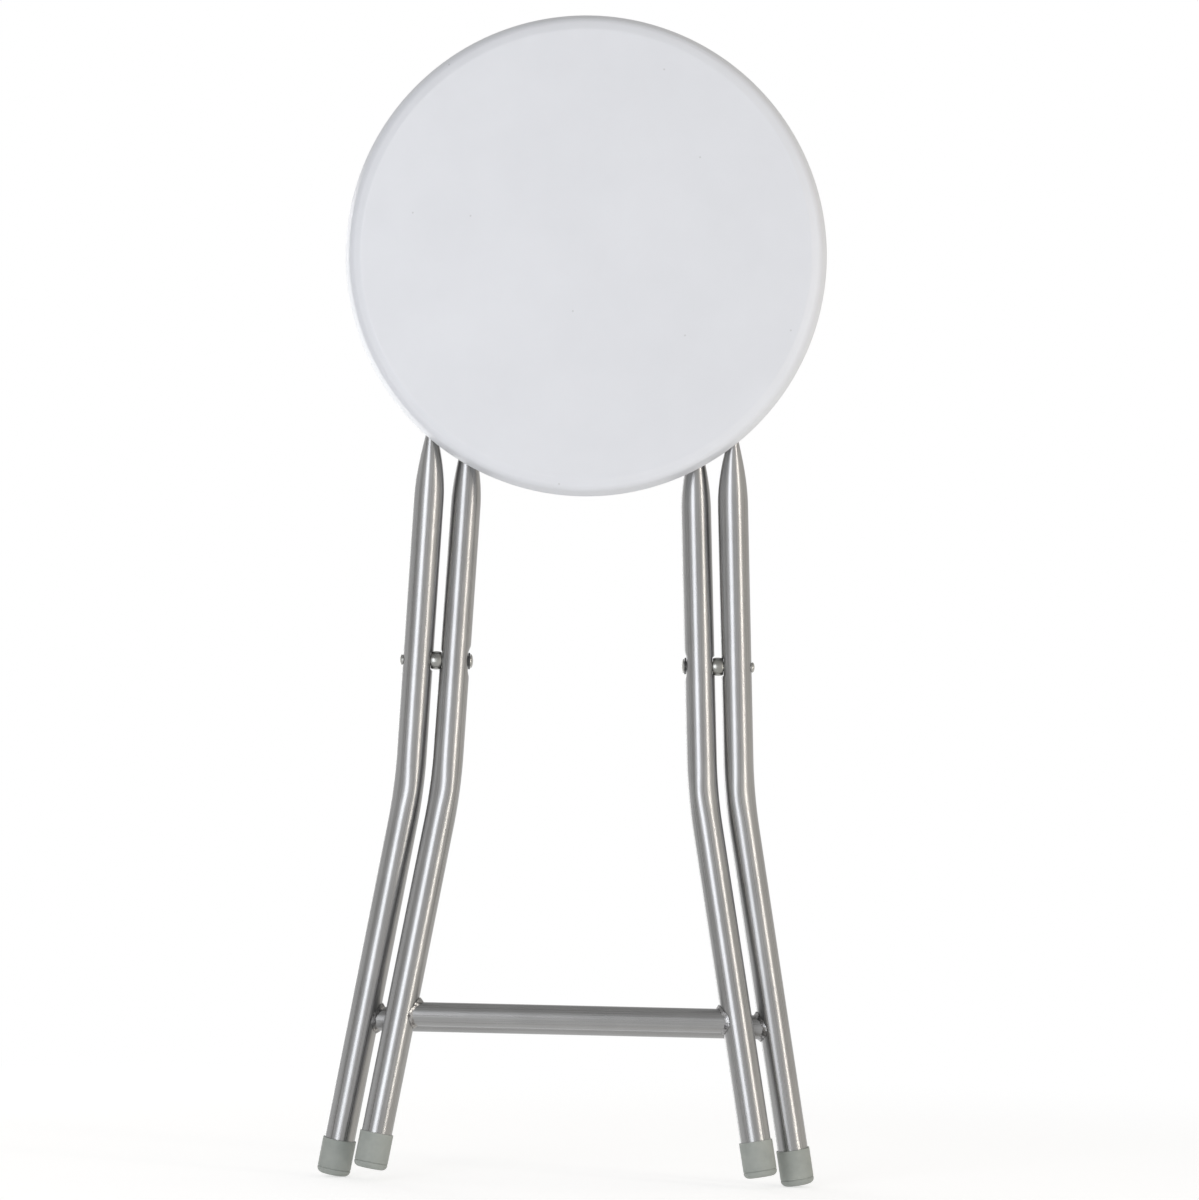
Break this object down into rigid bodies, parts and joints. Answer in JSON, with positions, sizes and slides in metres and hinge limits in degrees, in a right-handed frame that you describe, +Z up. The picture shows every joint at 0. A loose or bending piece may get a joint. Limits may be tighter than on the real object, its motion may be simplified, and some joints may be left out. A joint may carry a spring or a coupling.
{
  "type": "folding stool",
  "caption": "Folding stool with a round lacquered seat on crossed steel tube legs that scissor open, riveted at the pivots, with plastic foot caps.",
  "frame": {"origin": "on the floor, under the middle of the folded stool's box", "axes": "+Z up, +X to the right and +Y to the rear, so the folded seat's top face looks along -Y"},
  "size_m": [0.3112, 0.0718, 0.7271],
  "materials": {
    "white_lacquer": "satin white lacquer on fibreboard",
    "silver_tube": "satin silver coat on steel tube",
    "rail_sheet": "satin silver coat on pressed steel",
    "zinc_plate": "bright zinc plate",
    "black_nylon": "moulded, matte",
    "grey_cap": "moulded, matte"
  },
  "bodies": {
    "pivot": {"pivot_rivet_left": "zinc_plate", "pivot_rivet_right": "zinc_plate", "pivot_spacer_left": "zinc_plate", "pivot_spacer_right": "zinc_plate", "pivot_washer_left": "black_nylon", "pivot_washer_right": "black_nylon"},
    "outer_legs": {"outer_leg_left": "silver_tube", "outer_leg_right": "silver_tube", "outer_crossbar": "silver_tube", "outer_foot_left": "grey_cap", "outer_foot_right": "grey_cap"},
    "inner_legs": {"inner_leg_left": "silver_tube", "inner_leg_right": "silver_tube", "inner_crossbar": "silver_tube", "inner_foot_left": "grey_cap", "inner_foot_right": "grey_cap", "latch_rod": "zinc_plate", "rod_collar_left": "zinc_plate", "rod_collar_right": "zinc_plate"},
    "seat": {"seat_board": "white_lacquer", "seat_rail_left": "rail_sheet", "seat_rail_right": "rail_sheet", "rail_screw_left_1": "zinc_plate", "rail_screw_left_2": "zinc_plate", "rail_screw_left_3": "zinc_plate", "rail_screw_right_1": "zinc_plate", "rail_screw_right_2": "zinc_plate", "rail_screw_right_3": "zinc_plate", "hinge_rivet_left": "zinc_plate", "hinge_rivet_right": "zinc_plate", "hinge_washer_left": "black_nylon", "hinge_washer_right": "black_nylon"}
  },
  "joints": [
    {"name": "outer_fold", "type": "hinge", "parent": "pivot", "child": "outer_legs", "pos_m": [0, 0.01293, 0.32417], "axis": [1, 0, 0], "range_deg": [0, 30.67]},
    {"name": "inner_fold", "type": "hinge", "parent": "pivot", "child": "inner_legs", "pos_m": [0, 0.01293, 0.32417], "axis": [-1, 0, 0], "range_deg": [0, 28.95]},
    {"name": "seat_fold", "type": "hinge", "parent": "outer_legs", "child": "seat", "pos_m": [0, 0.00646, 0.49055], "axis": [-1, 0, 0], "range_deg": [0, 122.9]}
  ],
  "couplings": [
    {"joint": "inner_fold", "follows": "outer_fold", "ratio": 0.9438},
    {"joint": "seat_fold", "follows": "outer_fold", "ratio": 4.0076}
  ]
}
